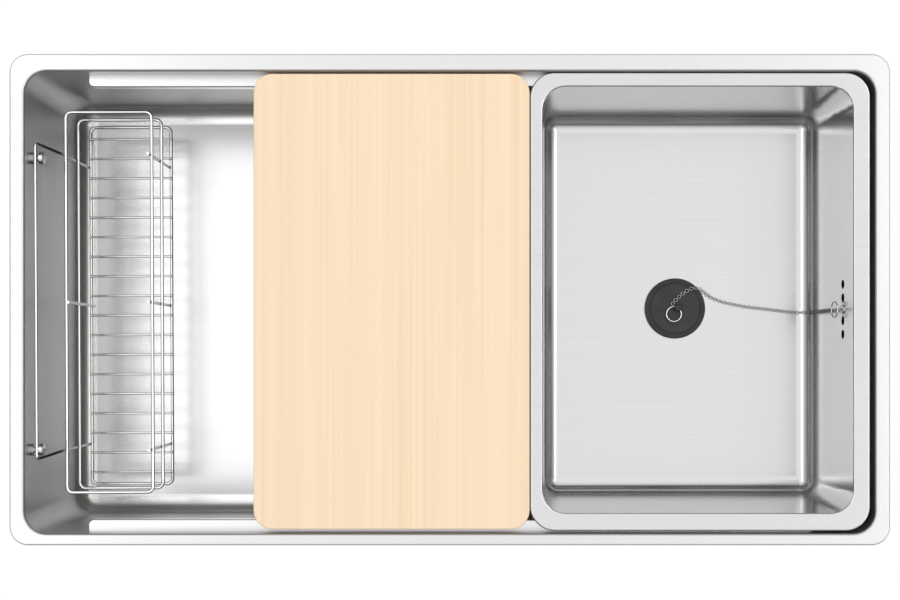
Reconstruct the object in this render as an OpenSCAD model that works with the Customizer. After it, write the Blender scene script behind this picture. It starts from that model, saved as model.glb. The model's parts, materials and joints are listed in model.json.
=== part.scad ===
// Workstation kitchen sink: a pressed bowl with ledge rails that carry a board, a wash tub
// with its plug and chain, and a wire rack hung from two studs, over a basket waste.
// Millimetres. X to the right, Y to the back, Z up. z = 0 is the worktop, under the rim gasket.

/* [Rim and bowl] */
// rim, left to right
rim_w = 860; // [600:10:1000]
// rim, front to back
rim_d = 480; // [400:5:560]
// rim top above the worktop
rim_h = 3; // [2:0.5:5]
// radius of the rim's corners
rim_corner = 18; // [10:1:40]
// bend at the rim's outer edge
lip_bend = 2; // [1.5:0.1:3]
// gap between the turned-down lip and the worktop
lip_gap = 0.25; // [0.1:0.05:0.5]
// thickness of the bowl's sheet
sheet = 1.2; // [0.8:0.1:1.5]
// rim's width at the left and the right, up to the bowl's wall
rim_side = 14.5; // [13:0.1:30]
// rim's width at the front
rim_front = 11.5; // [11.5:0.1:30]
// rim's width at the back
rim_back = 17.1; // [12:0.1:30]
// radius of the bowl's upright corners
bowl_corner = 22; // [21:1:60]
// bowl depth, from the rim top
bowl_depth = 209; // [150:1:260]
// fillet between wall and floor
bowl_fillet = 19.5; // [8:0.5:20]
// bend between rim and wall
rim_roll = 3; // [2:0.5:3.5]

/* [Gasket] */
// width of the foam strip
gasket_w = 5; // [4:0.5:5]
// strip's outer edge, in from the rim's edge
gasket_inset = 2.7; // [2.5:0.1:3]

/* [Ledge rails] */
// rail top below the rim top
rail_drop = 19; // [10:1:40]
// width of the ledge
rail_w = 12; // [8:0.5:20]
// each rail stops short of the bowl's side walls
rail_end = 57.5; // [30:0.5:120]
// radius of the rail's free corners
rail_corner = 6; // [3:0.5:10]
// thickness of the rail's sheet
rail_t = 1.5; // [1:0.1:2]
// bend along the rail's free edge
rail_bend = 2; // [1.8:0.1:3]
// depth of the rail's front lip
rail_lip = 10; // [5:0.5:20]
// depth of the leg welded to the wall
rail_leg = 14; // [8:1:20]

/* [Cutting board] */
// board, left to right
board_w = 269.8; // [150:0.1:400]
// gap between board and bowl, at the back
board_back = 2.2; // [1:0.1:5]
// gap between board and bowl, at the front
board_front = 4.2; // [1:0.1:5]
// board thickness
board_t = 18; // [12:0.5:30]
// gap between board and wash tub
board_gap = 0.6; // [0.3:0.1:20]
// radius of the board's corners
board_corner = 18.5; // [5:0.5:40]
// eased edge
board_ease = 1.5; // [0.5:0.1:3]

/* [Wash tub] */
// flange, left to right
tub_w = 332.4; // [240:0.1:400]
// gap between flange and bowl, at the right
tub_right = 4.5; // [1:0.1:10]
// gap between flange and bowl, at the back
tub_back = 0.9; // [0.5:0.1:5]
// gap between flange and bowl, at the front
tub_front = 2.5; // [0.5:0.1:5]
// flange top above the worktop
tub_top = 1.5; // [0:0.1:3]
// radius of the flange's corners
tub_corner = 24; // [12:0.5:40]
// width of the flange at the left
flange_left = 12.5; // [8:0.1:30]
// width of the flange at the right
flange_right = 16.7; // [8:0.1:30]
// width of the flange at the front
flange_front = 17.5; // [8:0.1:30]
// width of the flange at the back
flange_back = 13.8; // [8:0.1:30]
// radius of the opening's corners
well_corner = 22.4; // [20:0.1:50]
// height of the leaning part of the tub walls, measured along the wall
well_slope = 118.75; // [75:6.25:125]
// fillet between tub wall and floor
well_fillet = 16.75; // [4.25:6.25:16.75]
// bend between flange and tub wall
well_roll = 2; // [2:6.25:8.25]
// thickness of the tub's sheet
tub_sheet = 1; // [0.6:0.1:1.2]
// overflow hole diameter
overflow_d = 9; // [5:0.5:14]
// overflow holes below the flange top
overflow_drop = 31; // [20:1:50]
// near pair of overflow holes, from the anchor
overflow_near = 11.4; // [10:0.1:14]
// far pair of overflow holes, from the anchor
overflow_far = 25; // [22:0.1:40]
// plug hole diameter
plug_hole_d = 51; // [40:0.5:60]
// depth of the collar round the plug hole
collar_h = 3; // [2:0.5:5]

/* [Plug and chain] */
// plug from the middle of the tub's opening, left to right
plug_off_x = -3.1; // [-40:0.1:40]
// plug from the middle of the tub's opening, front to back
plug_off_y = -3.95; // [-20:0.05:20]
// plug flange diameter
plug_d = 64.4; // [56:0.1:80]
// plug flange thickness
plug_t = 4.5; // [3:0.5:6]
// plug stem diameter at the flange
plug_stem_d = 49.8; // [38:0.1:58]
// plug stem diameter at its foot
plug_foot_d = 46; // [34:0.5:56]
// plug stem length
plug_stem_len = 10; // [6:0.5:14]
// eye post diameter
post_d = 8; // [5:0.5:9]
// cross hole in the eye post
eye_d = 3.6; // [3:0.1:4]
// post from the plug's middle, left to right
post_off_x = 2.35; // [-3:0.05:3]
// post from the plug's middle, front to back
post_off_y = 0.65; // [-3:0.05:3]
// cross hole above the plug
eye_h = 2.6; // [2.1:0.1:4]
// rubber above the cross hole
eye_roof = 2; // [1:0.1:3]
// outer diameter of the two rings
ring_d = 17; // [15:0.5:20]
// wire of the two rings
ring_wire = 1.2; // [1:0.1:1.6]
// turn of the plug ring about the post, degrees
ring_turn = -31.7; // [-40:0.1:40]
// row of overflow holes from the middle of the tub's opening
anchor_off = -8.25; // [-20:0.05:20]
// lean of the anchor ring off the wall, degrees
anchor_lean = 8; // [0:1:15]
// chain wire
link_wire = 0.7; // [0.5:0.05:0.9]
// about how far apart links are
link_step = 2.62; // [2.5:0.02:3.2]
// slack between links
link_slack = 0.1; // [0.06:0.02:0.3]

/* [Hanging rack] */
// rack hoops, middle of the wires, left to right
rack_w = 87; // [60:1:120]
// hoops stand off the bowl's left wall, to the middle of the wire
rack_left = 26.4; // [20:0.1:60]
// hoops stand off the bowl's back wall
rack_back = 30.6; // [20:0.1:80]
// hoops stand off the bowl's front wall
rack_front = 35.3; // [20:0.1:80]
// turn of the rack as it hangs, degrees
rack_turn = 0.28; // [-0.28:0.02:0.28]
// bend at the hoop corners
rack_corner = 6; // [4:0.5:12]
// frame wire
rack_wire = 3; // [2:0.1:4]
// crossbar wire
bar_wire = 2; // [1.5:0.1:3]
// top hoop below the worktop
hoop_top = 52; // [40:1:80]
// middle hoop below the worktop
hoop_mid = 100; // [80:1:120]
// base hoop below the worktop
hoop_base = 150; // [120:1:170]
// spacing of the crossbars
bar_step = 21.15; // [15:0.05:30]
// clear of the end wires, at the least
bar_clear = 8; // [5:0.5:20]
// uprights and hanger legs, from the middle one
upright_step = 149.8; // [100:0.1:170]
// hanger bar's ends past its legs
bar_over = 6.6; // [2:0.1:10]
// wires sink into each other at each weld
weld = 0.25; // [0.1:0.05:0.4]

/* [Hook studs] */
// studs below the worktop
stud_drop = 20; // [15:0.5:30]
// middle of the two studs, from the middle of the rack
stud_off = -3; // [-5:0.1:5]
// studs apart
stud_span = 288.8; // [200:0.1:300]
// head diameter
stud_d = 11.8; // [9:0.1:14]
// groove diameter
groove_d = 7; // [6:0.5:8]
// width of the groove
groove_w = 4.6; // [4:0.1:6]
// collar between wall and groove
stud_collar = 4.2; // [2:0.1:6]
// how far the stud stands off the wall
stud_out = 13.2; // [11:0.1:20]
// thread diameter
stud_thread = 6; // [5:1:8]
// thread length
stud_tail = 9; // [8:0.5:12]

/* [Basket waste] */
// flange diameter
waste_flange_d = 112; // [108:1:118]
// body diameter
waste_body_d = 86; // [80:1:90]
// hole in the bowl
waste_hole_d = 89; // [85:1:95]
// depth of the cup below its seat
waste_depth = 45; // [35:1:60]
// recess pressed round the hole
dish_drop = 5; // [3:0.5:8]
// recess diameter at the floor
dish_d = 132; // [124:1:150]
// outlet thread diameter
spigot_d = 47.8; // [40:0.1:60]
// outlet thread length
spigot_len = 14; // [10:1:25]
// tailpiece tube diameter
tail_d = 38.1; // [32:0.1:50]
// tailpiece length
tail_len = 52; // [30:1:120]
// basket diameter at the top
basket_d = 76; // [60:1:80]
// basket diameter at the bottom
basket_low_d = 66; // [58:1:70]
// basket height
basket_h = 34; // [20:1:40]

/* [Fixings] */
// thickness of the worktop
worktop_t = 30; // [20:1:40]
// fixing screws out from the bowl wall
screw_out = 6.3; // [6:0.1:7]
// fixing screw diameter
screw_d = 5; // [4:0.5:6]
// brackets on the long sides, in from the bowl's side walls
clip_end = 145.5; // [60:0.5:200]
// brackets on the short sides: the front ones, in from the front stud
clip_side = 25.05; // [20:0.05:80]
// thickness of the sound pads
pad_t = 3; // [2:0.5:4]
// sound pads end short of the bowl's corners
pad_end = 75.5; // [40:0.5:120]

/* [Fits] */
// gap under a piece that rests on another
seat_gap = 0.05; // [0.02:0.01:0.1]
// gap round a screw in its hole
screw_gap = 0.25; // [0.1:0.05:0.5]
// gap between threads
thread_gap = 0.1; // [0.05:0.05:0.2]

/* [Hidden] */
$fn = 64;
eps = 0.01;
bent_far = 30;
wall_far = 400;

// heights
bowl_floor = rim_h - bowl_depth;
rail_top = rim_h - rail_drop;
stud_z = -stud_drop;

// bowl
bowl_x2 = rim_w / 2 - rim_side;
bowl_back = rim_d / 2 - rim_back;
bowl_front = rim_front - rim_d / 2;
bowl_y = (bowl_back + bowl_front) / 2;
bowl_y2 = (bowl_back - bowl_front) / 2;
bowl_left = -bowl_x2;

// tub flange, tub opening and board
tub_x2 = tub_w / 2;
tub_x = bowl_x2 - tub_right - tub_x2;
tub_y = (bowl_back - tub_back + bowl_front + tub_front) / 2;
tub_y2 = bowl_y2 - (tub_back + tub_front) / 2;
well_x2 = tub_x2 - (flange_left + flange_right) / 2;
well_y2 = tub_y2 - (flange_front + flange_back) / 2;
well_x = tub_x + (flange_left - flange_right) / 2;
well_y = tub_y + (flange_front - flange_back) / 2;
board_x = tub_x - tub_x2 - board_gap - board_w / 2;
board_y = (bowl_back - board_back + bowl_front + board_front) / 2;
board_y2 = bowl_y2 - (board_back + board_front) / 2;

// rack and studs
rack_x = bowl_left + rack_left + rack_w / 2;
rack_y = (bowl_back - rack_back + bowl_front + rack_front) / 2;
rack_y2 = bowl_y2 - (rack_back + rack_front) / 2;
stud_y = rack_y + stud_off;
stud_ys = [stud_y - stud_span / 2, stud_y + stud_span / 2];

// waste
seat_z = bowl_floor - dish_drop;
seat_r = waste_flange_d / 2 + 2;
under_z = seat_z - sheet;
cup_r = waste_body_d / 2;
cup_t = 1.2;
cup_fillet = 7;
cup_low = seat_z - waste_depth;
spigot_low = cup_low - spigot_len;
spigot_bore = 20;
drain_holes = 6;
drain_hole_d = 9;
drain_ring_r = 12.5;
waste_gasket_t = 3;
friction_t = 1;
nut_z = under_z - waste_gasket_t - friction_t;
nut_h = 12;
nut_r = cup_r + 9;
nut_lugs = 8;
lug_out = 4;
lug_w = 10;
tail_r = tail_d / 2;
tail_t = 1.2;
tail_flange_r = spigot_d / 2 - 0.6;
tail_flange_t = 1.5;
tail_washer_t = 1.5;
tail_flange_top = spigot_low - tail_washer_t;
tail_neck_cut = 0.4;
tail_neck_over = 1.5;
coupling_r = 31;
coupling_grip = 10;
coupling_end_t = 3;
coupling_lug_out = 3;
coupling_lug_w = 6;
coupling_lug_cut = 4;
coupling_top = spigot_low + coupling_grip;
coupling_low = tail_flange_top - tail_flange_t - coupling_end_t;

// basket
seal_r = 27;
seal_t = 4;
seal_low = cup_low + cup_t + seat_gap;
basket_low = seal_low + seal_t;
basket_t = 0.8;
basket_top = basket_low + basket_h;
basket_rim_r = cup_r - cup_t - 0.6;
basket_hole_d = 3.2;
basket_hole_rows = [9, 16, 23];
basket_holes = 20;
floor_hole_r = 30;
knob_r = 9;
knob_neck_r = 3;
knob_h = 30;
knob_head_h = 7;

// tub walls lean as in the 237, 3116, 3125 right triangle, whose sine and cosine are short
// decimals, so that the bends at both ends of the wall meet it exactly
lean_sin = 237 / 3125;
lean_cos = 3116 / 3125;
well_draft = atan2(lean_sin, lean_cos);
bends_r = well_roll + well_fillet;
fillet_u = well_roll - bends_r * lean_cos - well_slope * lean_sin;
fillet_z = tub_top - well_roll + bends_r * lean_sin - well_slope * lean_cos;
well_floor = fillet_z - well_fillet;
roll_u = well_roll - well_roll * lean_cos;
roll_z = tub_top - well_roll + well_roll * lean_sin;
function wall_u(z) = roll_u - (roll_z - z) * lean_sin / lean_cos;
overflow_z = tub_top - overflow_drop;
well_right = well_x + well_x2;
anchor_x = well_right + wall_u(overflow_z);
anchor_y = well_y + anchor_off;
skirt_low = rail_top + seat_gap;

// plug
plug_x = well_x + plug_off_x;
plug_y = well_y + plug_off_y;
plug_low = well_floor + seat_gap;
plug_top = plug_low + plug_t;
eye_z = plug_top + eye_h;
post_h = eye_h + eye_d / 2 + eye_roof;
post_root_r = 2;
post_foot_r = 5;
post_foot_t = 1.5;
ring_r = (ring_d - ring_wire) / 2;
plug_groove_r = 0.83 * plug_d / 2;
plug_edge = 1.4;
plug_groove = 1.6;
plug_roof_t = 2;
plug_wall_t = 5;

// anchor
anchor_base_r = 4.5;
anchor_base_t = 1.5;
anchor_eye_r = 3;
anchor_wire = 1.6;
anchor_shank_r = 1.75;
anchor_hole_r = anchor_shank_r + 0.15;
anchor_washer_t = 0.8;
anchor_eye_out = anchor_base_t + anchor_eye_r + 0.5;
ring_drop = anchor_eye_r - anchor_wire / 2 - ring_wire / 2 - seat_gap;
anchor_ring_top = [
  anchor_x - anchor_eye_out * cos(well_draft),
  anchor_y,
  overflow_z + anchor_eye_out * sin(well_draft) - ring_drop
];
anchor_ring_low = anchor_ring_top
  + 2 * ring_r * [-sin(anchor_lean), 0, -cos(anchor_lean)];

// chain: round links, in turn upright and flat, laid over the plug and the tub floor, round
// the fillet and up to the anchor ring. Points are from the plug's centre, and on the floor
// they are shares of the way to the fillet.
link_r = (link_step + link_slack + link_wire) / 2;
link_out = link_r + link_wire / 2;
lie_h = link_out + seat_gap;
chain_plug_z = plug_top + lie_h;
chain_floor_z = well_floor + lie_h;
chain_hold = link_r - link_wire / 2 - ring_wire / 2 - seat_gap;
post_x = plug_x + post_off_x;
post_y = plug_y + post_off_y;
ring_catch = 38;
ring_mid_a = ring_turn - 90;
catch_a = ring_mid_a + 180 + ring_catch;
ring_mid = [post_x + ring_r * cos(ring_mid_a), post_y + ring_r * sin(ring_mid_a)];
catch = [ring_mid[0] + ring_r * cos(catch_a), ring_mid[1] + ring_r * sin(catch_a)];
start_dir = [0.26, 0.966];
lay_plug = [
  [-3.4, 5.4], [0.1, 9.3], [4.1, 12.7], [7.8, 16], [11.9, 18.7], [16, 20.9], [20.5, 22.1], [24.6, 21.7]
];
lay_drape = [[28.8, 19.2, 4.4], [32.5, 16.1, 3.2], [37, 12.9, 1.1]];
lay_floor = [
  [0, 10.4], [0.13, 6.5], [0.27, 4], [0.41, 1.8], [0.61, -0.1], [0.81, -2.2], [1, -3.9]
];
floor_from = 41.6;
turn_r = well_fillet - lie_h;
turn_x = well_right + fillet_u;
floor_run = turn_x - plug_x - floor_from - 4;
turn_as = [0, 18, 36, 54, 72, 84];
route = concat(
  [[catch[0] - chain_hold * start_dir[0], catch[1] - chain_hold * start_dir[1], eye_z]],
  [for (p = lay_plug) [plug_x + p[0], plug_y + p[1], chain_plug_z]],
  [for (p = lay_drape) [plug_x + p[0], plug_y + p[1], chain_floor_z + p[2]]],
  [
    for (p = lay_floor)
      [plug_x + floor_from + p[0] * floor_run, plug_y + p[1], chain_floor_z]
  ],
  [for (a = turn_as) [turn_x + turn_r * sin(a), anchor_y, fillet_z - turn_r * cos(a)]],
  [anchor_ring_low + [0, 0, chain_hold]]
);
function way(n) = n == 0 ? 0 : way(n - 1) + norm(route[n] - route[n - 1]);
ways = [for (n = [0 : len(route) - 1]) way(n)];
function along(s, k) = lookup(s, [for (n = [0 : len(route) - 1]) [ways[n], route[n][k]]]);
function chain_at(s) = [along(s, 0), along(s, 1), along(s, 2)];
chain_len = ways[len(route) - 1];
links = 2 * floor(chain_len / link_step / 2) + 1;
pitch = chain_len / links;

// rack
rack_x2 = rack_w / 2;
bars = floor(2 * (rack_y2 - bar_clear) / bar_step) + 1;
hoop_inside = rack_wire - weld;
hanger_x = bowl_left + stud_collar + groove_w / 2;
hanger_z = stud_z + groove_d / 2 + rack_wire / 2 + seat_gap;
upright_rise = 4;

// hanger wire: legs up the outside of the hoops, leaning out to a bar that lies in the grooves
leg_x = -rack_x2 - hoop_inside;
leg_low = -hoop_base - rack_wire / 2;
leg_kink = rack_wire;
bar_reach = upright_step + bar_over;
hanger_turns = [
  [leg_x, upright_step, -hoop_top + leg_kink],
  [hanger_x - rack_x, bar_reach, hanger_z],
  [hanger_x - rack_x, -bar_reach, hanger_z],
  [leg_x, -upright_step, -hoop_top + leg_kink]
];
turn_cut = 4.5;
turn_steps = 5;
wire_sides = 12;
function unit(v) = v / norm(v);
function leg_foot(p) = [p[0], p[1], leg_low];
function turn(p, q, r) = [
  for (n = [0 : turn_steps])
    let (t = n / turn_steps, a = q + turn_cut * unit(p - q), b = q + turn_cut * unit(r - q))
      (1 - t) * (1 - t) * a + 2 * t * (1 - t) * q + t * t * b
];
hanger_route = concat(
  [leg_foot(hanger_turns[0])],
  turn(leg_foot(hanger_turns[0]), hanger_turns[0], hanger_turns[1]),
  turn(hanger_turns[0], hanger_turns[1], hanger_turns[2]),
  turn(hanger_turns[1], hanger_turns[2], hanger_turns[3]),
  turn(hanger_turns[2], hanger_turns[3], leg_foot(hanger_turns[3])),
  [leg_foot(hanger_turns[3])]
);

// fixings
washer_t = 1.2;
stud_nut_h = 5;
stud_nut_d = 11.5;
bracket_w = 24;
bracket_t = 2.5;
bracket_drop = 17;
bracket_h = 22;
bracket_out = 9.8;
foot_r = 3.5;
foot_t = 2;
head_d = 8;
head_h = 3.5;
screw_len = 22;
clip_xs = [clip_end - bowl_x2, 0, bowl_x2 - clip_end];
clip_front = stud_ys[0] + clip_side;
clip_ys = [clip_front, 2 * bowl_y - clip_front];
clips = concat(
  [for (x = clip_xs) [x, bowl_back + sheet, 0]],
  [for (x = clip_xs) [x, bowl_front - sheet, 180]],
  [for (y = clip_ys) [bowl_x2 + sheet, y, -90]],
  [for (y = clip_ys) [-bowl_x2 - sheet, y, 90]]
);
pad_top = -80;
pad_up = 36;
pad_in = 40;
pad_floor_in = 90;
pad_w = bowl_x2 - pad_end - pad_in;
pad_x = pad_in + pad_w / 2;
pad_h = pad_top - bowl_floor - pad_up;
pad_side_w = 2 * (bowl_y2 - pad_end) - 2 * pad_in / 2;
pad_floor_w = bowl_x2 - pad_end - pad_floor_in;

// ---- helpers ----

// flat rectangle, half sizes x and y, with round corners where r is over 0
module plate_2d(x, y, r) {
  square([2 * x, 2 * (y - max(r, 0))], center = true);
  if (r > 0) {
    square([2 * (x - r), 2 * y], center = true);
    for (sx = [-1, 1], sy = [-1, 1])
      translate([sx * (x - r), sy * (y - r)]) circle(r = r);
  }
}

// the profile of a straight wall that faces +X
module straight(len) {
  rotate([90, 0, 0]) linear_extrude(height = len, center = true) children();
}

// a wall profile carried round a rounded rectangle: x outward from its line, y up. What
// reaches further in than r stops at the corner's axis.
module round_wall(x, y, r) {
  for (q = [[0, x, y], [90, y, x], [180, x, y], [270, y, x]])
    rotate([0, 0, q[0]]) {
      translate([q[1] - r, q[2] - r, 0]) rotate_extrude(angle = 90) intersection() {
        translate([r, 0]) children();
        translate([0, -wall_far]) square([wall_far, 2 * wall_far]);
      }
      translate([q[1], 0, 0]) straight(2 * (q[2] - r)) children();
    }
}

// section of bent sheet, from angle a to angle b
module bent(r_in, r_out, a, b) {
  mid = (a + b) / 2;
  intersection() {
    difference() {
      circle(r = r_out);
      circle(r = r_in);
    }
    polygon([
      [0, 0],
      [bent_far * cos(a), bent_far * sin(a)],
      [bent_far * cos(mid), bent_far * sin(mid)],
      [bent_far * cos(b), bent_far * sin(b)]
    ]);
  }
}

// flat ring
module washer(r_out, r_in, t) {
  difference() {
    cylinder(r = r_out, h = t);
    translate([0, 0, -eps]) cylinder(r = r_in, h = t + 2 * eps);
  }
}

// wire along a route of points, none of whose steps runs along X
module wire(route, d, sides) {
  last = len(route) - 1;
  rings = [
    for (n = [0 : last])
      let (
        t = unit(route[min(n + 1, last)] - route[max(n - 1, 0)]),
        u = unit(cross(t, [1, 0, 0])),
        v = cross(t, u)
      )
        for (k = [0 : sides - 1])
          route[n] + d / 2 * (cos(k * 360 / sides) * u + sin(k * 360 / sides) * v)
  ];
  polyhedron(
    points = rings,
    faces = concat(
      [[for (k = [0 : sides - 1]) k]],
      [
        for (n = [0 : last - 1], k = [0 : sides - 1], h = [0, 1])
          let (a = n * sides + k, b = n * sides + (k + 1) % sides)
            h == 0 ? [a, a + sides, b] : [b, a + sides, b + sides]
      ],
      [[for (k = [sides - 1 : -1 : 0]) last * sides + k]]
    )
  );
}

// ---- bowl ----

module bowl_profile() {
  translate([rim_roll, rim_h - rim_roll]) bent(rim_roll - sheet, rim_roll, 90, 180);
  translate([0, bowl_floor + bowl_fillet])
    square([sheet, rim_h - rim_roll - bowl_floor - bowl_fillet]);
  translate([-bowl_fillet, bowl_floor + bowl_fillet])
    bent(bowl_fillet, bowl_fillet + sheet, -90, 0);
}

module lip_profile() {
  translate([-lip_bend, rim_h - lip_bend]) bent(lip_bend - sheet, lip_bend, 0, 90);
  translate([-sheet, lip_gap]) square([sheet, rim_h - lip_bend - lip_gap]);
}

module bowl_shell() color("#b9bcbe") difference() {
  union() {
    translate([0, 0, rim_h - sheet]) linear_extrude(height = sheet) difference() {
      plate_2d(rim_w / 2 - lip_bend, rim_d / 2 - lip_bend, rim_corner - lip_bend);
      translate([0, bowl_y])
        plate_2d(bowl_x2 + rim_roll, bowl_y2 + rim_roll, bowl_corner + rim_roll);
    }
    round_wall(rim_w / 2, rim_d / 2, rim_corner) lip_profile();
    translate([0, bowl_y, 0]) round_wall(bowl_x2, bowl_y2, bowl_corner) bowl_profile();
    translate([0, 0, bowl_floor - sheet]) linear_extrude(height = sheet) difference() {
      translate([0, bowl_y])
        plate_2d(bowl_x2 - bowl_fillet, bowl_y2 - bowl_fillet, bowl_corner - bowl_fillet);
      circle(d = dish_d);
    }
    rotate_extrude() polygon([
      [waste_hole_d / 2, seat_z],
      [seat_r, seat_z],
      [dish_d / 2, bowl_floor],
      [dish_d / 2, bowl_floor - sheet],
      [seat_r, under_z],
      [waste_hole_d / 2, under_z]
    ]);
  }
  for (y = stud_ys)
    translate([bowl_left - 2 * sheet, y, stud_z]) rotate([0, 90, 0])
      cylinder(d = stud_thread + 2 * screw_gap, h = 4 * sheet);
}

module rim_gasket() color("#2b2b2b") linear_extrude(height = rim_h - sheet) difference() {
  plate_2d(rim_w / 2 - gasket_inset, rim_d / 2 - gasket_inset, rim_corner - gasket_inset);
  plate_2d(
    rim_w / 2 - gasket_inset - gasket_w,
    rim_d / 2 - gasket_inset - gasket_w,
    rim_corner - gasket_inset - gasket_w
  );
}

// ---- ledge rails: wall at y = 0, ledge towards +Y, top at z = 0 ----

module rail_profile() {
  translate([-rail_bend, -rail_bend]) bent(rail_bend - rail_t, rail_bend, 0, 90);
  translate([-rail_t, -rail_lip]) square([rail_t, rail_lip - rail_bend]);
}

module rail() {
  x2 = bowl_x2 - rail_end;
  end = rail_w - rail_corner;
  translate([0, 0, -rail_t]) linear_extrude(height = rail_t) {
    translate([-x2 + rail_bend, 0]) square([2 * (x2 - rail_bend), end]);
    translate([-x2 + rail_corner, 0]) square([2 * (x2 - rail_corner), rail_w - rail_bend]);
    for (s = [-1, 1])
      translate([s * (x2 - rail_corner), end]) circle(r = rail_corner - rail_bend);
  }
  for (s = [0, 1]) mirror([s, 0, 0]) {
    translate([x2, end / 2, 0]) straight(end) rail_profile();
    translate([x2 - rail_corner, end, 0])
      rotate_extrude(angle = 90) translate([rail_corner, 0]) rail_profile();
  }
  translate([0, rail_w, 0]) rotate([0, 0, 90]) straight(2 * (x2 - rail_corner)) rail_profile();
  translate([-x2 + rail_corner, 0, -rail_leg])
    cube([2 * (x2 - rail_corner), rail_t, rail_leg - rail_t / 2]);
}

module rail_back() color("#c9ccce")
  translate([0, bowl_back, rail_top]) mirror([0, 1, 0]) rail();

module rail_front() color("#c9ccce")
  translate([0, bowl_front, rail_top]) rail();

// ---- hook studs ----

module at_studs() {
  for (y = stud_ys) translate([bowl_left, y, stud_z]) rotate([0, 90, 0]) children();
}

module hook_studs() color("#e2e4e6") at_studs() {
  head = stud_out - stud_collar - groove_w;
  round_r = 1.2;
  translate([0, 0, -stud_tail]) cylinder(d = stud_thread, h = stud_tail);
  cylinder(d = stud_d, h = stud_collar);
  cylinder(d = groove_d, h = stud_out - round_r);
  translate([0, 0, stud_collar + groove_w]) rotate_extrude() {
    square([stud_d / 2, head - round_r]);
    square([stud_d / 2 - round_r, head]);
    translate([stud_d / 2 - round_r, head - round_r]) bent(0, round_r, 0, 90);
  }
}

module stud_washers() color("#c8cacc") at_studs()
  translate([0, 0, -sheet - washer_t])
    washer(stud_thread, stud_thread / 2 + screw_gap, washer_t);

module stud_nuts() color("#d0d2d4") at_studs()
  translate([0, 0, -sheet - washer_t - stud_nut_h]) difference() {
    cylinder(d = stud_nut_d, h = stud_nut_h, $fn = 6);
    translate([0, 0, -eps]) cylinder(d = stud_thread + thread_gap, h = stud_nut_h + 2 * eps);
  }

// ---- pads and fixings ----

module wall_pad(w) translate([-w / 2, 0, pad_top - pad_h]) cube([w, pad_t, pad_h]);

module sound_pads() color("#4a4d50") {
  for (x = [-pad_x, pad_x]) {
    translate([x, bowl_back + sheet, 0]) wall_pad(pad_w);
    translate([x, bowl_front - sheet, 0]) rotate([0, 0, 180]) wall_pad(pad_w);
  }
  for (s = [0, 1]) mirror([s, 0, 0])
    translate([pad_floor_in, bowl_front + pad_end, bowl_floor - sheet - pad_t])
      cube([pad_floor_w, 2 * (bowl_y2 - pad_end), pad_t]);
  translate([bowl_x2 + sheet, bowl_y, 0]) rotate([0, 0, -90]) wall_pad(pad_side_w);
  translate([-bowl_x2 - sheet, bowl_y, 0]) rotate([0, 0, 90]) wall_pad(pad_side_w);
}

module at_clips() {
  for (c = clips) translate([c[0], c[1], 0]) rotate([0, 0, c[2]]) children();
}

module fixing_brackets() color("#b4b6b8") at_clips() {
  low = -bracket_drop - bracket_h;
  difference() {
    union() {
      translate([-bracket_w / 2, 0, low]) cube([bracket_w, bracket_t, bracket_h]);
      translate([-bracket_w / 2, 0, low]) cube([bracket_w, bracket_out, bracket_t]);
    }
    translate([0, screw_out, low - eps])
      cylinder(d = screw_d + thread_gap, h = bracket_t + 2 * eps);
  }
}

module fixing_screws() color("#cfd1d3") at_clips()
  translate([0, screw_out, -worktop_t - foot_t]) {
    translate([0, 0, -screw_len]) cylinder(d = screw_d, h = screw_len);
    translate([0, 0, -screw_len - head_h]) cylinder(d = head_d, h = head_h, $fn = 6);
  }

module fixing_feet() color("#5c5f61") at_clips()
  translate([0, screw_out, -worktop_t - foot_t]) cylinder(r = foot_r, h = foot_t);

// ---- basket waste ----

module waste_cup() color("#c4c7c9") difference() {
  rotate_extrude() {
    translate([cup_r, seat_z]) square([waste_flange_d / 2 - cup_r - cup_t / 2, cup_t]);
    translate([waste_flange_d / 2 - cup_t / 2, seat_z + cup_t / 2]) bent(0, cup_t / 2, -90, 90);
    translate([cup_r - cup_t, cup_low + cup_fillet]) square([cup_t, waste_depth - cup_fillet + cup_t]);
    translate([cup_r - cup_fillet, cup_low + cup_fillet])
      bent(cup_fillet - cup_t, cup_fillet, -90, 0);
    translate([0, cup_low]) square([cup_r - cup_fillet, cup_t]);
    translate([spigot_bore, spigot_low]) square([spigot_d / 2 - spigot_bore, spigot_len]);
  }
  for (n = [1 : drain_holes])
    rotate([0, 0, n * 360 / drain_holes]) translate([drain_ring_r, 0, cup_low - eps])
      cylinder(d = drain_hole_d, h = cup_t + 2 * eps);
}

module waste_gasket() color("#242424")
  translate([0, 0, under_z - waste_gasket_t])
    washer(seat_r - 2, waste_hole_d / 2, waste_gasket_t);

module friction_ring() color("#b89a72")
  translate([0, 0, nut_z]) washer(seat_r - 2, cup_r + screw_gap, friction_t);

module lock_nut() color("#8d9194") translate([0, 0, nut_z - nut_h]) difference() {
  union() {
    cylinder(r = nut_r, h = nut_h);
    for (n = [1 : nut_lugs])
      rotate([0, 0, n * 360 / nut_lugs])
        translate([nut_r - 2, -lug_w / 2, 0]) cube([lug_out + 2, lug_w, nut_h - 4]);
  }
  translate([0, 0, -eps]) cylinder(r = cup_r + thread_gap, h = nut_h + 2 * eps);
}

module tail_washer() color("#303030")
  translate([0, 0, tail_flange_top]) washer(tail_flange_r, spigot_bore, tail_washer_t);

module tailpiece() color("#c6c9cb") translate([0, 0, tail_flange_top]) rotate_extrude() {
  neck = tail_flange_t + coupling_end_t + tail_neck_over;
  translate([tail_r - tail_t, -tail_len]) square([tail_t, tail_len - neck]);
  translate([tail_r - tail_t, -neck]) square([tail_t - tail_neck_cut, neck]);
  translate([tail_r - tail_t / 2, -tail_flange_t])
    square([tail_flange_r - tail_r + tail_t / 2, tail_flange_t]);
}

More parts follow.
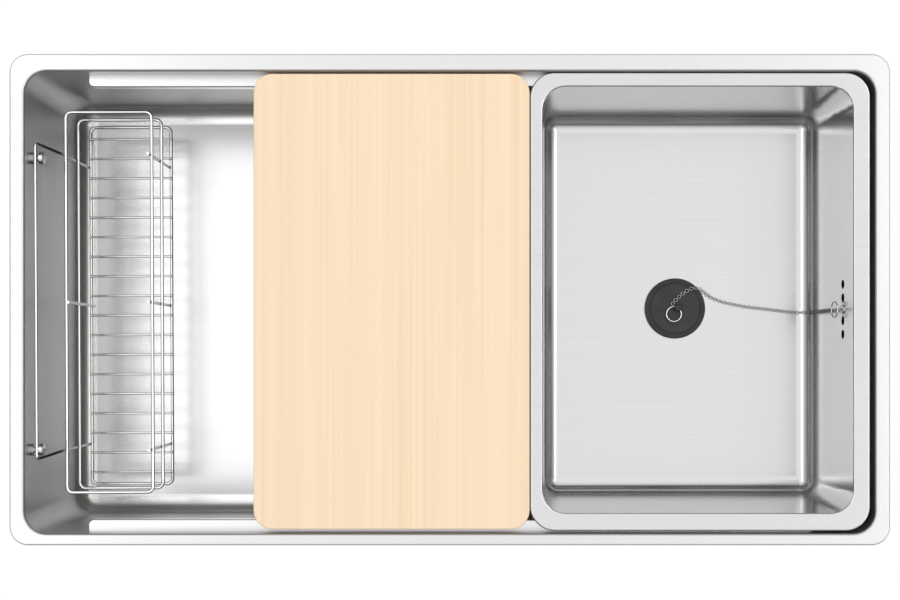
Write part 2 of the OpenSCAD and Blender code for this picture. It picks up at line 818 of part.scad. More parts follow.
module coupling_nut() color("#9a9da0") difference() {
  union() {
    translate([0, 0, coupling_low]) cylinder(r = coupling_r, h = coupling_top - coupling_low);
    for (n = [1 : nut_lugs])
      rotate([0, 0, (n + 0.5) * 360 / nut_lugs])
        translate([coupling_r - coupling_lug_out, -coupling_lug_w / 2, coupling_low])
          cube([
            2 * coupling_lug_out, coupling_lug_w, coupling_top - coupling_low - coupling_lug_cut
          ]);
  }
  translate([0, 0, coupling_low - eps])
    cylinder(r = tail_r + screw_gap, h = coupling_top - coupling_low + 2 * eps);
  translate([0, 0, coupling_low + coupling_end_t - seat_gap])
    cylinder(r = spigot_d / 2 + thread_gap, h = coupling_top - coupling_low);
}

module basket() color("#d2d5d7") difference() {
  rotate_extrude() {
    polygon([
      [0, basket_low],
      [basket_low_d / 2, basket_low],
      [basket_d / 2, basket_top],
      [basket_d / 2 - basket_t, basket_top],
      [basket_low_d / 2 - basket_t, basket_low + basket_t],
      [0, basket_low + basket_t]
    ]);
    translate([basket_d / 2 - basket_t, basket_top - basket_t])
      square([basket_rim_r - basket_d / 2 + basket_t, basket_t]);
  }
  for (n = [1 : basket_holes])
    rotate([0, 0, n * 360 / basket_holes]) {
      for (h = basket_hole_rows)
        translate([basket_low_d / 2 - 4, 0, basket_low + h]) rotate([0, 90, 0])
          cylinder(d = basket_hole_d, h = 12);
      translate([floor_hole_r, 0, basket_low - eps])
        cylinder(d = basket_hole_d, h = basket_t + 2 * eps);
    }
  translate([0, 0, basket_low - eps])
    cylinder(r = knob_neck_r + screw_gap, h = basket_t + 2 * eps);
}

module basket_seal() color("#202020")
  translate([0, 0, seal_low]) washer(seal_r, knob_neck_r + screw_gap, seal_t);

module basket_knob() color("#dadcde") translate([0, 0, seal_low]) rotate_extrude() {
  square([knob_neck_r, knob_h - 2]);
  translate([0, seal_t + basket_t + seat_gap]) square([6, 2]);
  translate([0, knob_h - knob_head_h]) square([knob_r - 2, knob_head_h]);
  translate([knob_r - 2, knob_h - knob_head_h + 2]) square([2, knob_head_h - 4]);
  translate([knob_r - 2, knob_h - 2]) bent(0, 2, 0, 90);
  translate([knob_r - 2, knob_h - knob_head_h + 2]) bent(0, 2, -90, 0);
}

// ---- board ----

module cutting_board() color("#e6cf9f") translate([board_x, board_y, rail_top + seat_gap]) {
  linear_extrude(height = board_t)
    plate_2d(board_w / 2 - board_ease, board_y2 - board_ease, board_corner - board_ease);
  round_wall(board_w / 2, board_y2, board_corner) {
    translate([-board_ease, board_ease]) square([board_ease, board_t - 2 * board_ease]);
    translate([-board_ease, board_t - board_ease]) bent(0, board_ease, 0, 90);
    translate([-board_ease, board_ease]) bent(0, board_ease, -90, 0);
  }
}

// ---- wash tub ----

module well_profile() {
  translate([well_roll, tub_top - well_roll])
    bent(well_roll - tub_sheet, well_roll, 90, 180 - well_draft);
  translate([fillet_u, fillet_z]) {
    bent(well_fillet, well_fillet + tub_sheet, -90, -well_draft);
    rotate(-well_draft) translate([well_fillet, 0]) square([tub_sheet, well_slope]);
  }
}

module skirt_profile() {
  translate([-lip_bend, tub_top - lip_bend]) bent(lip_bend - tub_sheet, lip_bend, 0, 90);
  translate([-tub_sheet, skirt_low]) square([tub_sheet, tub_top - lip_bend - skirt_low]);
}

module tub_shell() color("#c2c5c7") difference() {
  union() {
    translate([0, 0, tub_top - tub_sheet]) linear_extrude(height = tub_sheet) difference() {
      translate([tub_x, tub_y])
        plate_2d(tub_x2 - lip_bend, tub_y2 - lip_bend, tub_corner - lip_bend);
      translate([well_x, well_y])
        plate_2d(well_x2 + well_roll, well_y2 + well_roll, well_corner + well_roll);
    }
    translate([tub_x, tub_y, 0]) round_wall(tub_x2, tub_y2, tub_corner) skirt_profile();
    translate([well_x, well_y, 0]) round_wall(well_x2, well_y2, well_corner) well_profile();
    translate([0, 0, well_floor - tub_sheet]) linear_extrude(height = tub_sheet) difference() {
      translate([well_x, well_y])
        plate_2d(well_x2 + fillet_u, well_y2 + fillet_u, well_corner + fillet_u);
      translate([plug_x, plug_y]) circle(r = plug_hole_d / 2 + well_roll);
    }
    translate([plug_x, plug_y, well_floor - well_roll]) rotate_extrude() {
      translate([plug_hole_d / 2 + well_roll, 0]) bent(well_roll - tub_sheet, well_roll, 90, 180);
      translate([plug_hole_d / 2, -collar_h]) square([tub_sheet, collar_h]);
    }
  }
  for (y = [-overflow_far, -overflow_near, overflow_near, overflow_far])
    translate([anchor_x - 5, anchor_y + y, overflow_z]) rotate([0, 90, 0])
      cylinder(d = overflow_d, h = 10);
  at_anchor() rotate([0, 90, 0]) translate([0, 0, -5]) cylinder(r = anchor_hole_r, h = 10);
}

// ---- anchor: +X points into the wall, square to it ----

module at_anchor() {
  translate([anchor_x, anchor_y, overflow_z]) rotate([0, well_draft, 0]) children();
}

module anchor_eye() color("#d8dadc") at_anchor() {
  back = tub_sheet + anchor_washer_t;
  rotate([0, 90, 0]) {
    translate([0, 0, -anchor_base_t - seat_gap]) cylinder(r = anchor_base_r, h = anchor_base_t);
    translate([0, 0, -2 * seat_gap]) cylinder(r = anchor_shank_r, h = back + 3 * seat_gap);
    translate([0, 0, back]) cylinder(r = 2 * anchor_shank_r, h = anchor_base_t);
  }
  translate([-anchor_eye_out, 0, 0]) rotate([90, 0, 0])
    rotate_extrude() translate([anchor_eye_r, 0]) circle(d = anchor_wire);
}

module anchor_washer() color("#c0c2c4") at_anchor() rotate([0, 90, 0])
  translate([0, 0, tub_sheet]) washer(anchor_base_r, anchor_hole_r, anchor_washer_t);

module wire_ring() {
  rotate_extrude() translate([ring_r, 0]) circle(d = ring_wire);
}

module anchor_ring() color("#d8dadc")
  translate(anchor_ring_top) rotate([0, anchor_lean, 0])
    translate([0, 0, -ring_r]) rotate([0, 90, 0]) wire_ring();

// ---- chain ----

module link() rotate([90, 0, 0]) rotate_extrude() translate([link_r, 0]) circle(d = link_wire);

module chain() color("#d4d6d8") {
  for (k = [0 : links - 1]) {
    a = chain_at(k * pitch);
    b = chain_at((k + 1) * pitch);
    d = b - a;
    translate((a + b) / 2)
      rotate([0, -asin(d[2] / norm(d)), atan2(d[1], d[0])]) rotate([90 * k, 0, 0]) link();
  }
}

// ---- plug ----

module plug() color("#232323") translate([plug_x, plug_y, plug_low]) difference() {
  edge_r = plug_d / 2 - plug_edge;
  rotate_extrude() polygon(concat(
    [[0, plug_t]],
    [for (a = [90 : -22.5 : 0]) [edge_r + plug_edge * cos(a), plug_t + plug_edge * (sin(a) - 1)]],
    [for (a = [0 : -22.5 : -90]) [edge_r + plug_edge * cos(a), plug_edge * (1 + sin(a))]],
    [
      [plug_stem_d / 2, 0],
      [plug_stem_d / 2, -plug_roof_t],
      [plug_foot_d / 2, -plug_stem_len],
      [plug_foot_d / 2 - plug_wall_t, -plug_stem_len],
      [plug_foot_d / 2 - plug_wall_t, -plug_roof_t],
      [0, -plug_roof_t]
    ]
  ));
  rotate_extrude() translate([plug_groove_r, plug_t]) circle(r = plug_groove / 2);
  translate([post_off_x, post_off_y, -plug_roof_t - eps])
    cylinder(r = post_root_r + seat_gap, h = plug_roof_t + plug_t + 2 * eps);
}

module plug_post() color("#262626") translate([post_x, post_y, 0]) {
  under = plug_low - plug_roof_t - seat_gap;
  difference() {
    union() {
      translate([0, 0, plug_top]) cylinder(d = post_d, h = post_h - 1);
      translate([0, 0, plug_top + post_h - 1]) cylinder(d1 = post_d, d2 = post_d - 2, h = 1);
    }
    rotate([0, 0, ring_turn]) translate([-post_d, 0, eye_z]) rotate([0, 90, 0])
      cylinder(d = eye_d, h = 2 * post_d);
  }
  translate([0, 0, under]) cylinder(r = post_root_r, h = plug_top - under);
  translate([0, 0, under - post_foot_t]) cylinder(r = post_foot_r, h = post_foot_t);
}

module plug_ring() color("#d8dadc") translate([ring_mid[0], ring_mid[1], eye_z]) wire_ring();

// ---- hanging rack ----

module at_rack() {
  translate([rack_x, rack_y, 0]) rotate([0, 0, rack_turn]) children();
}

module hoop(z) at_rack()
  translate([0, 0, z]) round_wall(rack_x2, rack_y2, rack_corner) circle(d = rack_wire);

module rack_top_hoop() color("#dfe1e3") hoop(-hoop_top);

module rack_mid_hoop() color("#dfe1e3") hoop(-hoop_mid);

module rack_base_hoop() color("#dfe1e3") hoop(-hoop_base);

module rack_crossbars() color("#dfe1e3") at_rack() {
  bar_len = rack_w + rack_wire - bar_wire / 2;
  for (n = [0 : bars - 1])
    translate([
      -bar_len / 2,
      (n - (bars - 1) / 2) * bar_step,
      -hoop_base + rack_wire / 2 + bar_wire / 2 - weld
    ])
      rotate([0, 90, 0]) cylinder(d = bar_wire, h = bar_len);
}

module rack_uprights() color("#dfe1e3") at_rack() {
  for (p = [[1, -1], [1, 0], [1, 1], [-1, 0]])
    translate([
      p[0] * (rack_x2 - hoop_inside),
      p[1] * upright_step,
      -hoop_base - rack_wire / 2
    ])
      cylinder(d = rack_wire, h = hoop_base - hoop_top + rack_wire + upright_rise);
}

module rack_hanger() color("#dfe1e3") at_rack() wire(hanger_route, rack_wire, wire_sides);

bowl_shell();
rail_back();
rail_front();
rim_gasket();
hook_studs();
stud_washers();
stud_nuts();
sound_pads();
fixing_brackets();
fixing_screws();
fixing_feet();
waste_cup();
waste_gasket();
friction_ring();
lock_nut();
tail_washer();
tailpiece();
coupling_nut();
basket();
basket_seal();
basket_knob();
cutting_board();
tub_shell();
anchor_eye();
anchor_washer();
anchor_ring();
chain();
plug();
plug_post();
plug_ring();
rack_top_hoop();
rack_mid_hoop();
rack_base_hoop();
rack_crossbars();
rack_uprights();
rack_hanger();
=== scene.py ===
import bpy, bmesh, json, math
from mathutils import Vector, Matrix


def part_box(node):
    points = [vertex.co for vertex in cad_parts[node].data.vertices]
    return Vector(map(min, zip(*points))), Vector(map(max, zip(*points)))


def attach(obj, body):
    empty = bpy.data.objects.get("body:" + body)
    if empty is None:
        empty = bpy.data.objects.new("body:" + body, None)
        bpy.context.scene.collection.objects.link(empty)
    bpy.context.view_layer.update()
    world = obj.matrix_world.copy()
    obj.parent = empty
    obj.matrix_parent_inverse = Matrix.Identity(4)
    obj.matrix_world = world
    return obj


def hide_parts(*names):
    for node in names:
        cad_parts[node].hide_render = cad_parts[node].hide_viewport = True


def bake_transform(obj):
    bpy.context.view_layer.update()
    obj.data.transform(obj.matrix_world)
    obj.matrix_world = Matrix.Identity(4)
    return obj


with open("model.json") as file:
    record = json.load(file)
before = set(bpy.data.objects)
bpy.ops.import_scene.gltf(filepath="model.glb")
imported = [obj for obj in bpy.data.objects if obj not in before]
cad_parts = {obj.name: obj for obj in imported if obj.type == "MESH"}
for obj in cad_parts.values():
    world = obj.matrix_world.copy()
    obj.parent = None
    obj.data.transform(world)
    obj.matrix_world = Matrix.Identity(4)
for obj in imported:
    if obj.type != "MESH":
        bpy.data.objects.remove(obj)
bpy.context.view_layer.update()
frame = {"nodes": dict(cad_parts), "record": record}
nodes = frame["nodes"]
slots = {s["node"]: s["material_slot"] for s in frame["record"]["subparts"]}
body_of = {n: body for body, names in frame["record"]["behaviour"]["bodies"].items() for n in names}


# ---------------------------------------------------------------- shader trees
class Tree:
    """Short calls for the nodes of one shader tree."""

    def __init__(self, tree):
        self.tree = tree

    def feed(self, node, ins):
        """Link each input that comes as a socket, and set each that comes as a value."""
        for key, v in ins.items():
            if isinstance(v, bpy.types.NodeSocket):
                self.tree.links.new(v, node.inputs[key])
            else:
                node.inputs[key].default_value = v

    def node(self, kind, out=0, ins=None, **props):
        node = self.tree.nodes.new("ShaderNode" + kind)
        for k, v in props.items():
            setattr(node, k, v)
        self.feed(node, ins or {})
        return node.outputs[out]

    def use(self, group, out=0, **ins):
        """One of the shared groups, with this tree's own values."""
        return self.node("Group", out, ins, node_tree=group)

    def math(self, op, a, b):
        return self.node("Math", ins={0: a, 1: b}, operation=op)

    def span(self, v, low, high, at_low, at_high, **props):
        """A value brought from one range to another."""
        return self.node("MapRange", ins={0: v, 1: low, 2: high, 3: at_low, 4: at_high}, **props)

    def mix(self, share, first, second):
        node = self.tree.nodes.new("ShaderNodeMix")
        node.data_type = "RGBA"
        self.feed(node, {0: share, 6: first, 7: second})
        return node.outputs[2]


class Group(Tree):
    """A shader group with named inputs and outputs."""

    def __init__(self, name, ins, outs):
        super().__init__(bpy.data.node_groups.new(name, "ShaderNodeTree"))
        for way, sockets in (("INPUT", ins), ("OUTPUT", outs)):
            for label, kind in sockets.items():
                self.tree.interface.new_socket(name=label, in_out=way, socket_type="NodeSocket" + kind)
        self.given = self.tree.nodes.new("NodeGroupInput").outputs
        self.end = self.tree.nodes.new("NodeGroupOutput")

    def done(self, **outs):
        self.feed(self.end, outs)
        return self.tree


def grain_group():
    """Noise, drawn out into hairlines where one stretch is far below the others."""
    g = Group("grain",
              {"Place": "Vector", "Stretch": "Vector", "Scale": "Float", "Detail": "Float",
               "Roughness": "Float"},
              {"Value": "Float", "Colour": "Color"})
    at = g.node("Mapping", ins={"Vector": g.given["Place"], "Scale": g.given["Stretch"]})
    value = g.node("TexNoise", "Fac", {"Vector": at, "Scale": g.given["Scale"], "Detail": g.given["Detail"],
                                       "Roughness": g.given["Roughness"]})
    return g.done(Value=value, Colour=value.node.outputs["Color"])


def tones_group():
    """Two colours, mixed where a value runs from low to high."""
    g = Group("tones",
              {"Value": "Float", "Low": "Float", "High": "Float", "First": "Color", "Second": "Color"},
              {"Colour": "Color"})
    share = g.span(g.given["Value"], g.given["Low"], g.given["High"], 0.0, 1.0)
    return g.done(Colour=g.mix(share, g.given["First"], g.given["Second"]))


def up_group():
    """1 on surfaces that face up, 0 on walls."""
    g = Group("facing_up", {"Low": "Float", "High": "Float"}, {"Mask": "Float"})
    rise = g.node("SeparateXYZ", "Z", {0: g.node("NewGeometry", "Normal")})
    return g.done(Mask=g.span(rise, g.given["Low"], g.given["High"], 0.0, 1.0))


def relief_group():
    """A normal lifted by a height."""
    g = Group("relief", {"Height": "Float", "Strength": "Float", "Distance": "Float"}, {"Normal": "Vector"})
    return g.done(Normal=g.node("Bump", ins={"Height": g.given["Height"], "Strength": g.given["Strength"],
                                             "Distance": g.given["Distance"]}))


GRAIN, TONES, UP, RELIEF = grain_group(), tones_group(), up_group(), relief_group()


class Mat(Tree):
    """A material: its own shader, and the shared groups that feed it."""

    def __init__(self, name, **constants):
        self.made = bpy.data.materials.new(name)
        self.made.use_nodes = True
        super().__init__(self.made.node_tree)
        self.shader = self.tree.nodes["Principled BSDF"]
        self.place = self.node("TexCoord", "Object")
        self.to(**constants)

    def to(self, **ins):
        """Sockets of the shader by name, each with a value or a link."""
        self.feed(self.shader, {k.replace("_", " "): v for k, v in ins.items()})

    def grain(self, scale, stretch=(1, 1, 1), detail=2.0, rough=0.5, place=None, out="Value"):
        return self.use(GRAIN, out, Place=place or self.place, Stretch=stretch, Scale=scale,
                        Detail=detail, Roughness=rough)

    def hairlines(self, stretch, detail=4.0, rough=0.5):
        return self.grain(1.0, stretch, detail, rough)

    def tones(self, v, low, high, first, second):
        return self.use(TONES, Value=v, Low=low, High=high, First=first, Second=second)

    def up(self, low=0.6, high=0.95):
        return self.use(UP, Low=low, High=high)

    def relief(self, height, strength, distance):
        return self.use(RELIEF, Height=height, Strength=strength, Distance=distance)


def grey(v):
    return (v, v, v, 1.0)


# ---------------------------------------------------------------- materials
def steel(name, base, rough):
    """Satin or dull steel of the waste, the brackets and the washers."""
    m = Mat(name, Metallic=1.0)
    broad = m.grain(9.0)
    fine = m.grain(900.0)
    m.to(Base_Color=m.tones(broad, 0.35, 0.65, grey(base * 0.96), grey(base * 1.03)),
         Roughness=m.span(fine, 0.3, 0.7, rough - 0.03, rough + 0.03),
         Normal=m.relief(fine, 0.1, 0.00005))
    return m.made


def cloth_pattern(m):
    """The fine embossed weave on the bowl's rim and floor."""
    bands = {"wave_type": "BANDS", "bands_direction": "DIAGONAL"}
    pitch = 190.0
    crossed = m.node("Mapping", ins={"Vector": m.place, "Rotation": (0, 0, math.pi / 2)})
    warp = m.node("TexWave", "Fac", {"Vector": m.place, "Scale": pitch}, **bands)
    weft = m.node("TexWave", "Fac", {"Vector": crossed, "Scale": pitch}, **bands)
    cells = m.node("TexVoronoi", "Distance", {"Vector": m.place, "Scale": 620.0, "Randomness": 0.35})
    return m.math("ADD", m.math("MULTIPLY", warp, weft), m.math("MULTIPLY", cells, 0.5))


def bowl_steel():
    """Satin walls, and an embossed rim and floor; the floor is the smoothest. Painted shade darkens the
    walls and painted light makes the floor the brightest, though all are one sheet.
    """
    m = Mat("bowl_steel", Metallic=1.0)
    up = m.up()
    side = m.math("SUBTRACT", 1.0, up)
    cloth = m.math("MULTIPLY", cloth_pattern(m), up)
    hair = m.hairlines((30.0, 30.0, 1400.0))
    deep = m.span(m.node("SeparateXYZ", "Z", {0: m.place}), -0.12, -0.19, 0.0, 1.0)
    # rim, floor and wall greys: painted light on the floor, painted shade on the walls
    rim = m.tones(cloth, 0.0, 0.9, grey(0.655), grey(0.715))
    floor = m.tones(cloth, 0.0, 0.9, grey(0.86), grey(0.93))
    wall = m.tones(m.grain(4.0), 0.35, 0.65, grey(0.53), grey(0.57))
    satin = m.span(up, 0.0, 1.0, 0.43, 0.36)
    worn = m.math("MULTIPLY", m.math("MULTIPLY", deep, up), 0.11)
    brushed = m.math("MULTIPLY", m.span(hair, 0.3, 0.7, -0.02, 0.02), side)
    scratches = m.math("MULTIPLY", m.math("MULTIPLY", hair, side), 0.25)
    # the facing-up and depth masks put the painted shade on the walls and the painted light on the floor
    m.to(Base_Color=m.mix(up, wall, m.mix(deep, rim, floor)),
         Roughness=m.math("ADD", m.math("SUBTRACT", satin, worn), brushed),
         Normal=m.relief(m.math("ADD", cloth, scratches), 0.12, 0.0001))
    return m.made


def tub_steel():
    """Hairlines from left to right on the floor, and level ones round the walls."""
    m = Mat("tub_steel", Metallic=1.0)
    along = m.hairlines((9.0, 1100.0, 1100.0), 5.0, 0.6)
    level = m.hairlines((14.0, 14.0, 1500.0), 5.0, 0.6)
    hair = m.node("Mix", ins={0: m.up(), 2: level, 3: along})
    uneven = m.span(m.grain(6.0), 0.3, 0.7, -0.02, 0.02)
    m.to(Base_Color=m.tones(hair, 0.3, 0.7, grey(0.62), grey(0.65)),
         Roughness=m.math("ADD", m.span(hair, 0.3, 0.7, 0.17, 0.23), uneven),
         Normal=m.relief(hair, 0.02, 0.00005))
    return m.made


def rail_steel():
    m = Mat("rail_steel", Metallic=1.0)
    hair = m.hairlines((10.0, 1600.0, 1600.0))
    m.to(Base_Color=m.tones(hair, 0.3, 0.7, grey(0.77), grey(0.82)),
         Roughness=m.span(hair, 0.3, 0.7, 0.28, 0.36),
         Normal=m.relief(hair, 0.08, 0.00006))
    return m.made


def chrome():
    m = Mat("wire_chrome", Metallic=1.0)
    fine = m.grain(1200.0)
    m.to(Base_Color=m.tones(fine, 0.0, 1.0, grey(0.52), grey(0.58)),
         Roughness=m.span(fine, 0.3, 0.7, 0.08, 0.14))
    return m.made


def wire_with_painted_highlight(name, side, top):
    """Wire with a painted highlight along its top and painted shade down its sides."""
    m = Mat(name, Metallic=1.0)
    fine = m.grain(1200.0)
    # the facing-up mask paints the highlight on the top and the shade on the sides
    up = m.math("ADD", m.up(0.45, 0.85), m.span(fine, 0.3, 0.7, -0.04, 0.04))
    m.to(Base_Color=m.tones(up, 0.0, 1.0, grey(side), grey(top)),
         Roughness=m.span(fine, 0.3, 0.7, 0.10, 0.16))
    return m.made


def board_wood():
    """Pale softwood with its grain from front to back, wandering a few millimetres."""
    m = Mat("board_wood", Specular_IOR_Level=0.25)
    bend = m.grain(1.6, (1.0, 0.3, 1.0), out="Colour")
    about = m.node("VectorMath", ins={0: bend, 1: (0.5, 0.5, 0.5)}, operation="SUBTRACT")
    shift = m.node("VectorMath", ins={0: about, "Scale": 0.0035}, operation="SCALE")
    place = m.node("VectorMath", ins={0: m.place, 1: shift}, operation="ADD")
    rings = m.grain(1.0, (330.0, 1.1, 40.0), 4.0, 0.6, place)
    fibre = m.grain(1.0, (1100.0, 9.0, 600.0), 3.0, place=place)
    broad = m.grain(1.0, (34.0, 0.7, 6.0), place=place)
    tone = m.tones(rings, 0.32, 0.66, (0.90, 0.675, 0.455, 1), (0.965, 0.765, 0.555, 1))
    tone = m.mix(m.span(broad, 0.35, 0.65, 0.0, 0.55), tone, (0.97, 0.79, 0.58, 1))
    tone = m.mix(m.span(fibre, 0.45, 0.8, 0.0, 0.10), tone, (0.78, 0.55, 0.33, 1))
    m.to(Base_Color=tone, Roughness=m.span(fibre, 0.3, 0.7, 0.55, 0.68),
         Normal=m.relief(m.math("ADD", fibre, rings), 0.08, 0.0001))
    return m.made


def rubber(name, base, rough):
    m = Mat(name, Specular_IOR_Level=0.35)
    fine = m.grain(700.0, detail=3.0)
    dust = m.grain(60.0, detail=3.0)
    m.to(Base_Color=m.tones(dust, 0.4, 0.75, grey(base), grey(base * 1.5)),
         Roughness=m.span(fine, 0.3, 0.7, rough - 0.08, rough + 0.08),
         Normal=m.relief(fine, 0.15, 0.0001))
    return m.made


def fibre():
    """Pressed fibre of the friction ring."""
    m = Mat("fibre", Specular_IOR_Level=0.2)
    fine = m.grain(500.0, (1, 1, 4), 4.0)
    m.to(Base_Color=m.tones(fine, 0.0, 1.0, (0.42, 0.31, 0.19, 1), (0.58, 0.45, 0.30, 1)),
         Roughness=m.span(fine, 0.3, 0.7, 0.7, 0.85))
    return m.made


mats = {
    "bowl_steel": bowl_steel(),
    "rail_steel": rail_steel(),
    "tub_steel": tub_steel(),
    "wire_chrome": chrome(),
    "fitting_steel": steel("fitting_steel", 0.62, 0.28),
    "zinc_steel": steel("zinc_steel", 0.52, 0.42),
    "board_wood": board_wood(),
    "black_rubber": rubber("black_rubber", 0.022, 0.42),
    "foam": rubber("foam", 0.05, 0.8),
    "pad_rubber": rubber("pad_rubber", 0.08, 0.75),
    "fibre": fibre(),
}
# side and top greys: painted shade down each wire's sides, painted highlight along its top
bright_wire_painted_highlight = wire_with_painted_highlight("bright_wire_painted_highlight", 0.22, 0.95)
chain_wire = wire_with_painted_highlight("chain_wire", 0.12, 0.50)
rack_wire = wire_with_painted_highlight("rack_wire", 0.30, 0.88)
for name, obj in nodes.items():
    obj.data.materials.clear()
    obj.data.materials.append(mats[slots[name]])


# ---------------------------------------------------------------- smooth pieces
def new_object(name, bm, mesh=None):
    """An object at the origin that takes the bmesh's shape."""
    mesh = mesh or bpy.data.meshes.new(name)
    bm.to_mesh(mesh)
    bm.free()
    obj = bpy.data.objects.new(name, mesh)
    bpy.context.collection.objects.link(obj)
    return obj


def smooth_copy(node, name, angle=32.0, swell=0.0, share=1.0):
    """The node's own faces, merged, with soft shading over bends and sharp edges kept.

    swell moves the skin out by that much, and share is the part of the faces that stays.
    """
    mesh = nodes[node].data.copy()
    mesh.name = name
    bm = bmesh.new()
    bm.from_mesh(mesh)
    bmesh.ops.remove_doubles(bm, verts=bm.verts, dist=2e-6)
    bmesh.ops.dissolve_degenerate(bm, edges=bm.edges, dist=1e-6)
    for face in bm.faces:
        face.smooth = True
    for edge in bm.edges:
        edge.smooth = edge.is_manifold and edge.calc_face_angle(0.0) < math.radians(angle)
    obj = new_object(name, bm, mesh)
    if swell:
        plating = obj.modifiers.new("swell", "DISPLACE")
        plating.strength = swell
        plating.mid_level = 0.0
    if share < 1.0:
        fewer = obj.modifiers.new("fewer", "DECIMATE")
        fewer.ratio = share
    even = obj.modifiers.new("even", "WEIGHTED_NORMAL")
    even.keep_sharp = True
    return obj


def dress(node, name, finish, swell):
    """A smooth piece that stands for its node and moves with the node's body."""
    obj = smooth_copy(node, name, swell=swell)
    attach(obj, body_of[node])
    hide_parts(node)
    if finish:
        obj.data.materials[0] = finish


# the rack's wires are this much fuller than their solids, on each side
wire_swell = 0.0002
bar_swell = 0.0003
for node, name, finish, swell in (
    ("bowl_shell", "bowl_sheet", None, 0.0),
    ("tub_shell", "tub_sheet", None, 0.0),
    ("cutting_board", "board_plank", None, 0.0),
    ("rail_back", "back_ledge", None, 0.0),
    ("rail_front", "front_ledge", None, 0.0),
    ("plug", "plug_rubber", None, 0.0),
    ("hook_studs", "turned_studs", None, 0.0),
    ("waste_cup", "pressed_cup", None, 0.0),
    ("basket", "pressed_basket", None, 0.0),
    ("rack_top_hoop", "top_wire", rack_wire, wire_swell),
    ("rack_mid_hoop", "mid_wire", rack_wire, wire_swell),
    ("rack_base_hoop", "base_wire", rack_wire, wire_swell),
    ("rack_crossbars", "floor_wires", rack_wire, bar_swell),
    ("rack_uprights", "corner_wires", rack_wire, wire_swell),
    ("rack_hanger", "hanger_wire", rack_wire, 0.0),
    ("plug_post", "plug_stub", None, 0.0),
    ("plug_ring", "lift_ring", bright_wire_painted_highlight, 0.0),
    ("anchor_ring", "wall_ring", bright_wire_painted_highlight, 0.0),
    ("anchor_eye", "wall_eye", None, 0.0),
):
    dress(node, name, finish, swell)


# ---------------------------------------------------------------- chain
def middle(node):
    low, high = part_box(node)
    return (low + high) / 2


def hang_chain():
    """The chain's own links, hanging from the tub's ring to the plug."""
    links = smooth_copy("chain", "plug_chain", 60.0, share=0.5)
    links.data.materials.clear()
    links.data.materials.append(chain_wire)
    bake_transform(links)
    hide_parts("chain")


hang_chain()


# ---------------------------------------------------------------- small pieces
def piece(name, bm, body, slot, finish=None):
    """A closed piece of the scene's own, on a body."""
    bmesh.ops.recalc_face_normals(bm, faces=bm.faces)
    for face in bm.faces:
        face.smooth = True
    obj = new_object(name, bm)
    obj.data.materials.append(finish or mats[slot])
    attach(obj, body)


def bead(bm, at, radius, wire, steps=96, sides=10):
    """A round bead laid flat round a centre."""
    place = Matrix.Translation(at + Vector((radius, 0, 0))) @ Matrix.Rotation(math.pi / 2, 4, "X")
    made = bmesh.ops.create_circle(bm, segments=sides, radius=wire / 2, matrix=place)
    edges = list({e for v in made["verts"] for e in v.link_edges})
    bmesh.ops.spin(bm, geom=made["verts"] + edges, cent=at, axis=(0, 0, 1), angle=math.tau,
                   steps=steps, use_merge=True)


def plug_beads():
    """Two moulded beads near the plug's edge, each sunk in it but for its crown."""
    low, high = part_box("plug")
    mid = middle("plug")
    radius = (high.x - low.x) / 2
    bm = bmesh.new()
    for share, wire in ((0.945, 0.0009), (0.885, 0.0007)):
        bead(bm, Vector((mid.x, mid.y, high.z - wire * 0.2)), radius * share, wire)
    piece("plug_beads", bm, "stopper", "black_rubber")


def crossbar_rows():
    """The points of each crossbar, in order from front to back."""
    bin_size, least_gap = 0.004, 0.006
    bins = {}
    for v in nodes["rack_crossbars"].data.vertices:
        bins.setdefault(round(v.co.y / bin_size), []).append(v.co.copy())
    rows = []
    for key in sorted(bins):
        y = sum(c.y for c in bins[key]) / len(bins[key])
        if rows and abs(rows[-1][0] - y) < least_gap:
            rows[-1][1].extend(bins[key])
        else:
            rows.append([y, list(bins[key])])
    return [points for _, points in rows]


def rack_welds():
    """Spot welds where the rack's floor wires meet the base wire."""
    end_depth, inset, weld_r = 0.001, 0.0012, 0.0016
    bm = bmesh.new()
    for points in crossbar_rows():
        for pick, inwards in ((min, inset), (max, -inset)):
            end = pick(points, key=lambda c: c.x)
            near = [c for c in points if abs(c.x - end.x) < end_depth]
            at = sum(near, Vector()) / len(near)
            at.x += inwards
            bmesh.ops.create_icosphere(bm, subdivisions=2, radius=weld_r, matrix=Matrix.Translation(at))
    piece("rack_welds", bm, "rack", "wire_chrome", rack_wire)


plug_beads()
rack_welds()


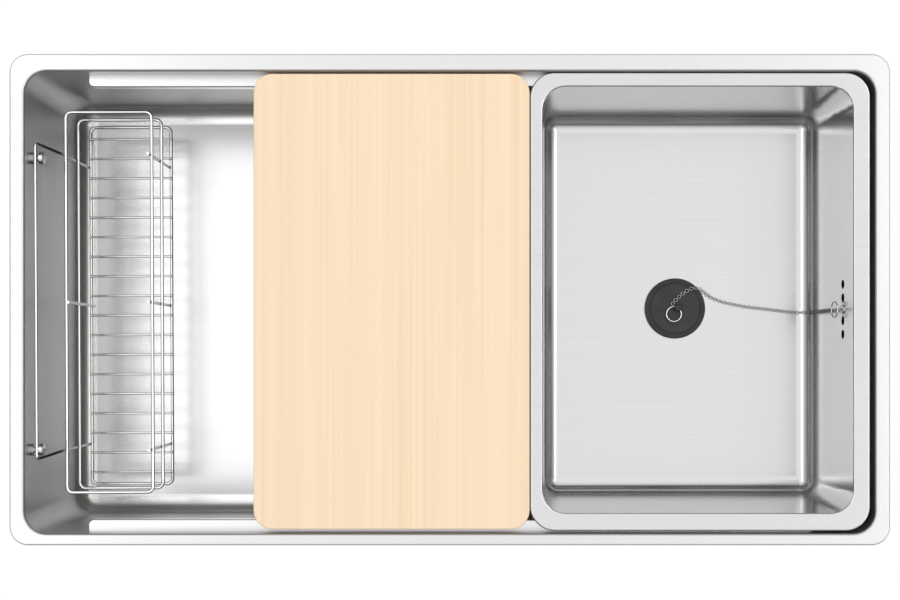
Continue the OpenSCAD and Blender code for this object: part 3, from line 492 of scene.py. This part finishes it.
# ---------------------------------------------------------------- stage, light, camera
def pale_floor(size=30.0, z=-0.331):
    """White to the camera and in reflections, with the object's shadow left to the rest."""
    bm = bmesh.new()
    bmesh.ops.create_grid(bm, x_segments=1, y_segments=1, size=size / 2,
                          matrix=Matrix.Translation((0, 0, z)))
    floor = new_object("floor", bm)
    m = Mat("floor_white", Roughness=0.8, Base_Color=grey(0.85))
    glow = m.node("Emission", ins={"Color": grey(1.0), "Strength": 1.02})
    mirrored = m.math("MAXIMUM", m.node("LightPath", "Is Glossy Ray"),
                      m.node("LightPath", "Is Transmission Ray"))
    seen = m.math("MAXIMUM", m.node("LightPath", "Is Camera Ray"), mirrored)
    white = m.node("MixShader", ins={0: seen, 1: m.shader.outputs[0], 2: glow})
    # from below, the floor lets the view through
    clear = m.node("BsdfTransparent")
    under = m.node("MixShader", ins={0: m.node("NewGeometry", "Backfacing"), 1: white, 2: clear})
    m.feed(m.tree.nodes["Material Output"], {"Surface": under})
    floor.data.materials.append(m.made)


def studio_sky():
    """Bright overhead, a darker belt round the room and a white horizon."""
    world = bpy.data.worlds.new("studio")
    bpy.context.scene.world = world
    world.use_nodes = True
    sky = Tree(world.node_tree)
    way = sky.node("TexCoord", "Generated")
    rise = sky.node("SeparateXYZ", "Z", {0: way})
    depth = sky.node("SeparateXYZ", "Y", {0: way})
    # the bright part leans a little to the back
    height = sky.node("Math", ins={0: depth, 1: 0.16, 2: rise}, operation="MULTIPLY_ADD")
    over = sky.span(height, 0.2, 0.85, 0.10, 1.17, interpolation_type="SMOOTHSTEP")
    horizon = sky.span(rise, 0.03, 0.14, 0.9, 0.0, interpolation_type="SMOOTHSTEP")
    sky.feed(sky.tree.nodes["Background"], {"Color": grey(1.0), "Strength": sky.math("ADD", over, horizon)})


def softbox(name, at, to, length, width, power):
    """A strip light that runs from front to back."""
    light = bpy.data.lights.new(name, "AREA")
    light.shape = "RECTANGLE"
    light.size, light.size_y = length, width
    light.energy = power
    obj = bpy.data.objects.new(name, light)
    obj.location = at
    obj.rotation_euler = (Vector(to) - Vector(at)).to_track_quat("-Z", "Y").to_euler()
    bpy.context.collection.objects.link(obj)


def overhead_camera():
    """Straight down from 1.4 m, shifted to frame the sink as it was photographed."""
    image_w = 900
    lens = bpy.data.cameras.new("camera")
    lens.lens = 57.4
    lens.sensor_width = 36.0
    lens.shift_x = -13 / image_w
    lens.shift_y = 57 / image_w
    lens.clip_start = 0.05
    camera = bpy.data.objects.new("camera", lens)
    camera.location = (0.0129, -0.0560, 1.403)
    bpy.context.collection.objects.link(camera)
    bpy.context.scene.camera = camera


pale_floor()
studio_sky()
softbox("softbox_left", (-1.35, 0.1, 2.2), (0, 0, -0.1), 2.6, 0.5, 7)
softbox("softbox_right", (1.8, 0.1, 2.1), (0.1, 0, -0.1), 2.6, 0.4, 10)
overhead_camera()
bpy.context.scene.view_settings.view_transform = "Standard"
